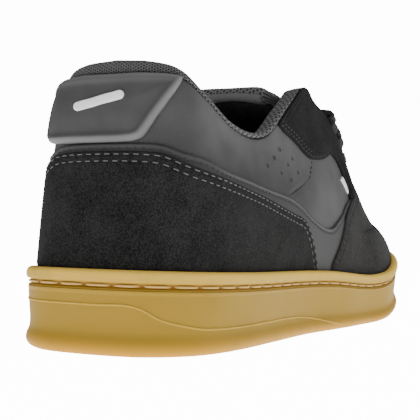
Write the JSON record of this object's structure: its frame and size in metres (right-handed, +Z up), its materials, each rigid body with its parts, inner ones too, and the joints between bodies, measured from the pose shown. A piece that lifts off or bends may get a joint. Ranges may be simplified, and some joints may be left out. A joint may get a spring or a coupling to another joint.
{
  "type": "suede sneaker",
  "caption": "Low right-foot skate sneaker with a hollow upper, suede panels, padded collar, moulded heel tab, flat lace and a gum rubber cup sole.",
  "frame": {"origin": "on the floor under the middle of the length and width of the sole", "axes": "+Z up, +Y from the heel to the toe, +X to the lateral side"},
  "size_m": [0.1027, 0.3014, 0.113],
  "materials": {
    "gum_rubber": "satin",
    "lining_fabric": "matt",
    "smooth_leather": "satin",
    "suede": "napped",
    "moulded_rubber": "satin",
    "lining_mesh": "knitted",
    "lace_cord": "woven"
  },
  "bodies": {
    "root": {"outsole": "gum_rubber", "insole": "lining_fabric", "upper": "smooth_leather", "counter": "suede", "band": "smooth_leather", "vamp": "suede", "eyestay_lateral": "suede", "eyestay_medial": "suede", "heel_tab": "moulded_rubber", "collar": "lining_mesh", "tongue": "lining_mesh", "laces": "lace_cord", "lace_bar": "lace_cord"}
  },
  "joints": []
}
